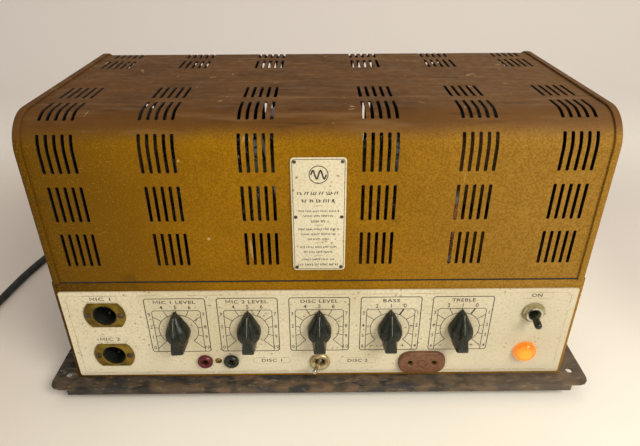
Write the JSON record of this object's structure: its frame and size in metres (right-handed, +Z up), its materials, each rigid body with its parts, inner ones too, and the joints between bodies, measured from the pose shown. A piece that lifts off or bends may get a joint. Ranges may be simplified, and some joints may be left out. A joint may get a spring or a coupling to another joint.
{
  "type": "tube amplifier",
  "caption": "Valve mixer amplifier: folded chassis with a printed control panel, slotted round-edged cover, pointer knobs, input sockets, lever switches, pilot lamp and mains lead.",
  "frame": {"origin": "on the table, under the middle of the amplifier's own box without its lead", "axes": "+Z up, -Y out of the control panel, +X to the right of someone facing the panel"},
  "size_m": [0.6526, 0.3305, 0.2328],
  "materials": {
    "gold_enamel": "hammered gold enamel on folded steel, worn along the edges",
    "panel_finish": "cream silk enamel with fine black printing",
    "dark_steel": "dark paint worn to brown rust",
    "rubber": "matt black rubber",
    "bakelite": "dark moulded phenolic",
    "brown_bakelite": "brown moulded phenolic",
    "brass": "tarnished brass",
    "steel": "nickelled steel",
    "ivory_plastic": "aged ivory moulding",
    "amber_jewel": "translucent amber, lit from behind",
    "tube_glass": "clear glass",
    "core_iron": "varnished iron laminations",
    "aluminium": "plain drawn aluminium",
    "red_plastic": "faded red moulding"
  },
  "bodies": {
    "amplifier": {"base_plate": "dark_steel", "foot_front_left": "rubber", "foot_front_right": "rubber", "foot_rear_left": "rubber", "foot_rear_right": "rubber", "chassis": "gold_enamel", "front_panel": "panel_finish", "cover_wrap": "gold_enamel", "cover_end_left": "gold_enamel", "cover_end_right": "gold_enamel", "nameplate": "panel_finish", "potentiometer_mic_1": "aluminium", "potentiometer_mic_2": "aluminium", "potentiometer_phono": "aluminium", "potentiometer_bass": "aluminium", "potentiometer_treble": "aluminium", "selector_switch": "brass", "power_switch": "ivory_plastic", "mic_socket_1": "brass", "mic_socket_2": "brass", "phono_socket_red": "red_plastic", "phono_socket_black": "bakelite", "two_pin_socket": "brown_bakelite", "pilot_jewel": "amber_jewel", "pilot_holder": "brass", "pilot_bulb": "tube_glass", "output_tube_1": "tube_glass", "output_tube_2": "tube_glass", "output_socket_1": "bakelite", "output_socket_2": "bakelite", "rectifier_tube": "tube_glass", "rectifier_socket": "bakelite", "preamp_tube_1": "aluminium", "preamp_tube_2": "aluminium", "preamp_tube_3": "aluminium", "filter_capacitor": "aluminium", "mains_transformer": "core_iron", "output_transformer": "core_iron", "choke": "core_iron", "cord_gland": "rubber", "voltage_selector": "bakelite", "fuse_holder": "bakelite", "output_terminals": "bakelite", "mains_cord": "rubber", "cord_coil": "rubber", "cord_tail": "rubber", "mains_plug": "bakelite"},
    "dial_mic_1": {"knob_mic_1": "bakelite", "shaft_mic_1": "steel"},
    "dial_mic_2": {"knob_mic_2": "bakelite", "shaft_mic_2": "steel"},
    "dial_phono": {"knob_phono": "bakelite", "shaft_phono": "steel"},
    "dial_bass": {"knob_bass": "bakelite", "shaft_bass": "steel"},
    "dial_treble": {"knob_treble": "bakelite", "shaft_treble": "steel"},
    "power_toggle": {"power_lever": "bakelite"},
    "selector_toggle": {"selector_lever": "steel"},
    "voltage_drum": {"voltage_selector_drum": "brown_bakelite"}
  },
  "joints": [
    {"name": "mic_1_turn", "type": "hinge", "parent": "amplifier", "child": "dial_mic_1", "pos_m": [-0.108, -0.112, 0.0636], "axis": [0, 1, 0], "range_deg": [-132, 138]},
    {"name": "mic_2_turn", "type": "hinge", "parent": "amplifier", "child": "dial_mic_2", "pos_m": [-0.054, -0.112, 0.0636], "axis": [0, 1, 0], "range_deg": [-135, 135]},
    {"name": "phono_turn", "type": "hinge", "parent": "amplifier", "child": "dial_phono", "pos_m": [0, -0.112, 0.0636], "axis": [0, 1, 0], "range_deg": [-135, 135]},
    {"name": "bass_turn", "type": "hinge", "parent": "amplifier", "child": "dial_bass", "pos_m": [0.054, -0.112, 0.0636], "axis": [0, 1, 0], "range_deg": [-135, 135]},
    {"name": "treble_turn", "type": "hinge", "parent": "amplifier", "child": "dial_treble", "pos_m": [0.108, -0.112, 0.0636], "axis": [0, 1, 0], "range_deg": [-135, 135]},
    {"name": "power_toggle_tilt", "type": "hinge", "parent": "amplifier", "child": "power_toggle", "pos_m": [0.162, -0.102, 0.0787], "axis": [-1, 0, 0], "range_deg": [0, 26]},
    {"name": "selector_toggle_tilt", "type": "hinge", "parent": "amplifier", "child": "selector_toggle", "pos_m": [0.0003, -0.102, 0.0308], "axis": [0, 0, 1], "range_deg": [0, 36]},
    {"name": "voltage_drum_turn", "type": "hinge", "parent": "amplifier", "child": "voltage_drum", "pos_m": [-0.085, 0.102, 0.06], "axis": [0, -1, 0], "range_deg": [0, 300]}
  ]
}
